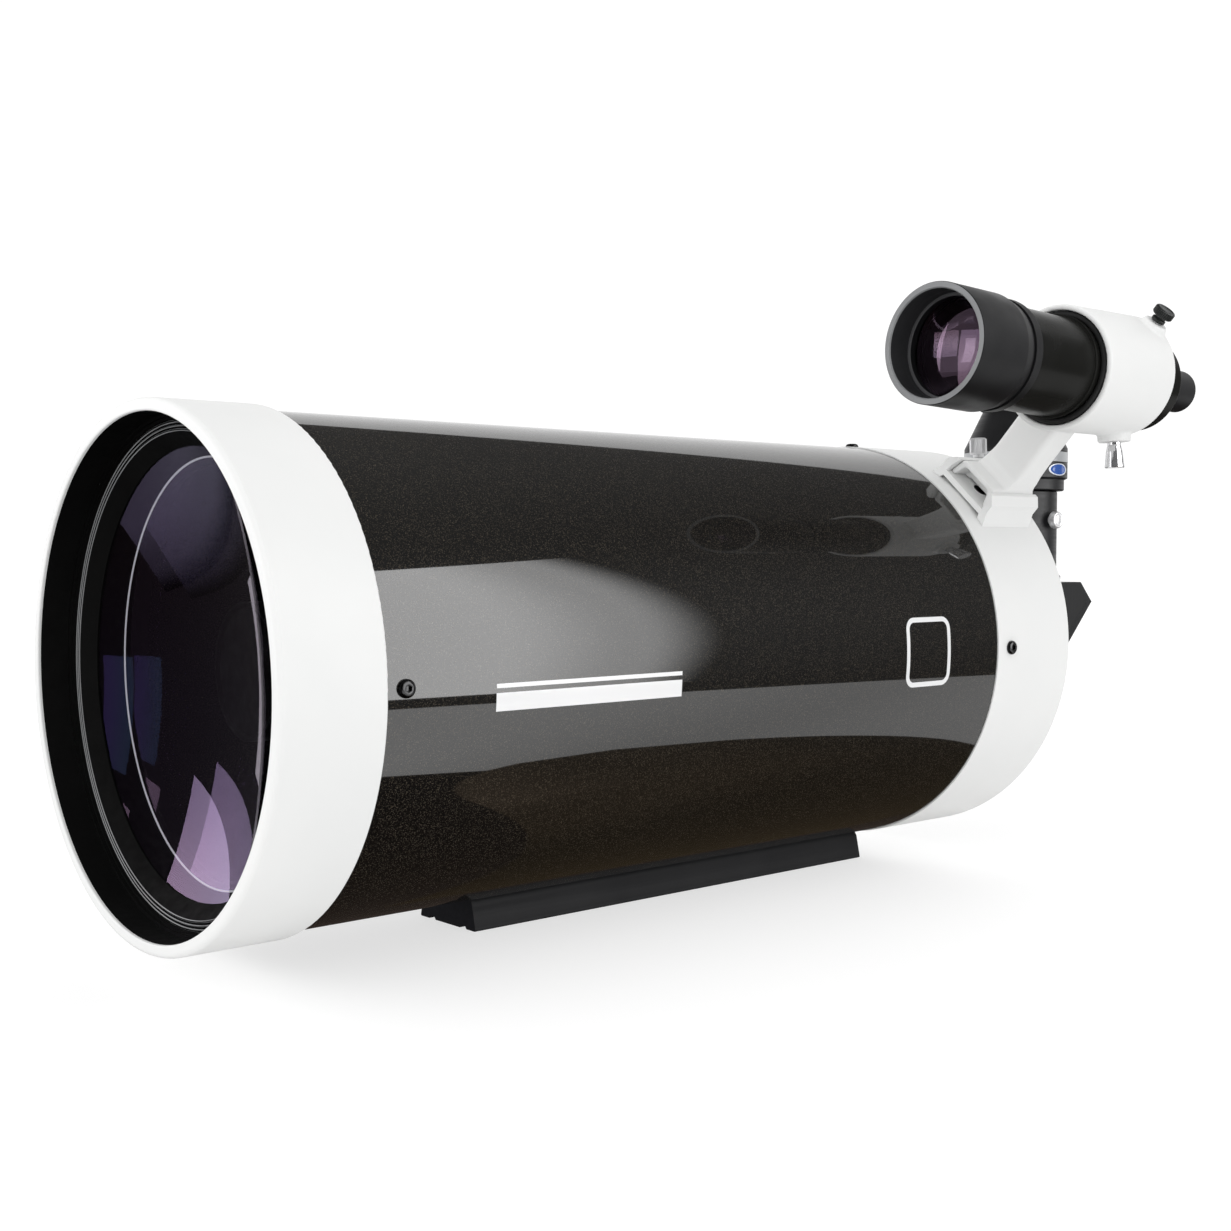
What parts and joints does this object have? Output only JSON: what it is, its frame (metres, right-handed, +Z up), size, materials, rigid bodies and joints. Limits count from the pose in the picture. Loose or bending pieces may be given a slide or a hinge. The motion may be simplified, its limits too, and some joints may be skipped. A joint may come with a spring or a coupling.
{
  "type": "maksutov telescope",
  "caption": "Closed-tube catadioptric telescope with finder scope on a ring bracket, right-angle diagonal, eyepiece, rear focus knob and dovetail bar.",
  "frame": {"origin": "centre of the dovetail bar's flat bottom face", "axes": "+X along the optical axis from the corrector to the eyepiece end, +Z up towards the tube, -Y towards the flank on the finder's side"},
  "size_m": [0.621, 0.2725, 0.2962],
  "materials": {
    "white_paint": "cast, with semi-gloss white enamel over it",
    "black_anodised": "satin black anodised",
    "black_satin": "satin black paint over aluminium",
    "black_lacquer": "black lacquer with fine metallic flakes under a glossy clear coat",
    "dovetail_anodised": "satin dark-grey anodised",
    "black_steel": "black oxide",
    "plain_steel": "bright turned steel",
    "plain_aluminium": "plain machined",
    "brass": "turned brass",
    "chrome": "bright chrome plate",
    "optical_glass": "coated optical glass with violet and blue reflections",
    "mirror_coating": "aluminised glass",
    "black_rubber": "matt black rubber",
    "black_nylon": "black moulded plastic",
    "grey_trim": "satin grey anodised",
    "badge_enamel": "plain blue enamel without lettering"
  },
  "bodies": {
    "tube_assembly": {"front_ring": "white_paint", "corrector_cell": "black_anodised", "corrector_retaining_ring": "black_anodised", "corrector_lens": "optical_glass", "secondary_baffle": "black_anodised", "secondary_mirror": "mirror_coating", "front_screws": "black_steel", "main_tube": "black_lacquer", "joint_ring": "black_anodised", "rear_cell": "white_paint", "rear_screws": "black_steel", "collimation_screws": "black_steel", "dovetail_bar": "dovetail_anodised", "dovetail_screws": "black_steel", "dovetail_nut_strips": "plain_aluminium", "baffle_tube": "black_anodised", "focus_bush": "plain_aluminium", "slip_ring": "black_anodised", "finder_shoe": "white_paint", "shoe_screws": "black_steel"},
    "mirror_carriage": {"primary_mirror": "mirror_coating", "mirror_carrier": "black_anodised", "mirror_retaining_ring": "black_anodised", "focus_nut": "brass"},
    "focus_spindle": {"focus_screw": "plain_steel", "focus_knob": "black_anodised", "focus_knob_grip": "black_rubber"},
    "visual_back_body": {"visual_back": "black_anodised", "visual_back_clamp_ring": "brass"},
    "visual_back_screw": {"visual_back_thumb_screw": "plain_steel"},
    "diagonal": {"diagonal_nosepiece": "black_anodised", "diagonal_housing": "black_anodised", "diagonal_mirror": "mirror_coating", "diagonal_back_plate": "black_anodised", "diagonal_plate_screws": "black_steel", "eyepiece_holder": "black_anodised"},
    "holder_screw_side": {"holder_thumb_screw_side": "plain_steel"},
    "holder_screw_rear": {"holder_thumb_screw_rear": "black_steel"},
    "eyepiece": {"eyepiece_barrel": "chrome", "eyepiece_body": "black_anodised", "eyepiece_trim_ring": "grey_trim", "eyepiece_badge": "badge_enamel", "eyepiece_eyecup": "black_rubber", "eyepiece_eye_lens": "optical_glass"},
    "shoe_screw": {"shoe_thumb_screw": "plain_steel"},
    "bracket": {"finder_bracket": "white_paint", "plunger_housing": "chrome"},
    "plunger": {"plunger_pin": "plain_steel"},
    "stem_a": {"adjuster_stem_a": "plain_steel"},
    "knob_a": {"adjuster_knob_a": "black_nylon"},
    "stem_b": {"adjuster_stem_b": "plain_steel"},
    "knob_b": {"adjuster_knob_b": "black_nylon"},
    "o_ring": {"finder_o_ring": "black_rubber"},
    "finder": {"finder_tube": "black_satin", "finder_eyepiece": "black_satin", "finder_eye_lens": "optical_glass"},
    "finder_objective": {"finder_objective_cell": "black_satin", "finder_objective_lens": "optical_glass", "finder_objective_ring": "black_satin"},
    "lock_ring": {"finder_lock_ring": "black_satin"}
  },
  "joints": [
    {"name": "mirror_focus", "type": "slide", "parent": "tube_assembly", "child": "mirror_carriage", "axis": [1, 0, 0], "range_m": [-0.006, 0.006]},
    {"name": "focus_knob_spin", "type": "hinge", "parent": "tube_assembly", "child": "focus_spindle", "pos_m": [0.218, 0.05, 0.0818], "axis": [1, 0, 0], "range_deg": [-2701, 2701]},
    {"name": "visual_back_turn", "type": "hinge", "parent": "tube_assembly", "child": "visual_back_body", "pos_m": [0.223, 0, 0.1198], "axis": [1, 0, 0], "continuous": true},
    {"name": "visual_back_screw_turn", "type": "hinge", "parent": "visual_back_body", "child": "visual_back_screw", "pos_m": [0.243, 0, 0.1198], "axis": [0, 0.5, 0.866], "range_deg": [0, 1080]},
    {"name": "diagonal_slide", "type": "slide", "parent": "visual_back_body", "child": "diagonal", "axis": [1, 0, 0], "range_m": [0, 0.035]},
    {"name": "holder_screw_side_turn", "type": "hinge", "parent": "diagonal", "child": "holder_screw_side", "pos_m": [0.3035, 0, 0.1883], "axis": [0, -1, 0], "range_deg": [0, 1080]},
    {"name": "holder_screw_rear_turn", "type": "hinge", "parent": "diagonal", "child": "holder_screw_rear", "pos_m": [0.3035, 0, 0.1883], "axis": [1, 0, 0], "range_deg": [0, 1080]},
    {"name": "eyepiece_slide", "type": "slide", "parent": "diagonal", "child": "eyepiece", "axis": [0, 0, 1], "range_m": [0, 0.03]},
    {"name": "shoe_screw_turn", "type": "hinge", "parent": "tube_assembly", "child": "shoe_screw", "pos_m": [0.173, -0.06696, 0.21921], "axis": [0, 0.0419, 0.9991], "range_deg": [0, 1080]},
    {"name": "bracket_slide", "type": "slide", "parent": "tube_assembly", "child": "bracket", "axis": [1, 0, 0], "range_m": [0, 0.04]},
    {"name": "finder_tilt_a", "type": "hinge", "parent": "bracket", "child": "o_ring", "pos_m": [0.1505, -0.1303, 0.2615], "axis": [0, -0.7361, -0.6769], "range_deg": [-0.6, 3]},
    {"name": "finder_tilt_b", "type": "hinge", "parent": "o_ring", "child": "finder", "pos_m": [0.1505, -0.1303, 0.2615], "axis": [0, -0.6769, 0.7361], "range_deg": [-0.6, 3]},
    {"name": "adjuster_a_travel", "type": "slide", "parent": "bracket", "child": "stem_a", "axis": [0, -0.6769, 0.7361], "range_m": [-0.0006, 0.0029]},
    {"name": "adjuster_a_spin", "type": "hinge", "parent": "stem_a", "child": "knob_a", "pos_m": [0.204, -0.1303, 0.2615], "axis": [0, -0.6769, 0.7361], "range_deg": [-300, 1450]},
    {"name": "adjuster_b_travel", "type": "slide", "parent": "bracket", "child": "stem_b", "axis": [0, 0.7361, 0.6769], "range_m": [-0.0006, 0.0029]},
    {"name": "adjuster_b_spin", "type": "hinge", "parent": "stem_b", "child": "knob_b", "pos_m": [0.204, -0.1303, 0.2615], "axis": [0, 0.7361, 0.6769], "range_deg": [-300, 1450]},
    {"name": "plunger_travel", "type": "slide", "parent": "bracket", "child": "plunger", "axis": [0, -0.0419, -0.9991], "range_m": [0, 0.0025], "stiffness_N_per_m": 1500, "springref_m": -0.003},
    {"name": "finder_focus", "type": "slide", "parent": "finder", "child": "finder_objective", "axis": [-0.9993, 0, 0.0384], "range_m": [0, 0.004]},
    {"name": "lock_ring_turn", "type": "hinge", "parent": "finder", "child": "lock_ring", "pos_m": [0.1505, -0.1303, 0.2615], "axis": [0.9993, 0, -0.0384], "continuous": true}
  ],
  "couplings": [
    {"joint": "focus_knob_spin", "follows": "mirror_focus", "rad_per_m": -7854},
    {"joint": "adjuster_a_travel", "follows": "finder_tilt_a", "m_per_rad": 0.0535},
    {"joint": "adjuster_a_spin", "follows": "finder_tilt_a", "ratio": 480.21},
    {"joint": "adjuster_b_travel", "follows": "finder_tilt_b", "m_per_rad": 0.0535},
    {"joint": "adjuster_b_spin", "follows": "finder_tilt_b", "ratio": 480.21}
  ]
}
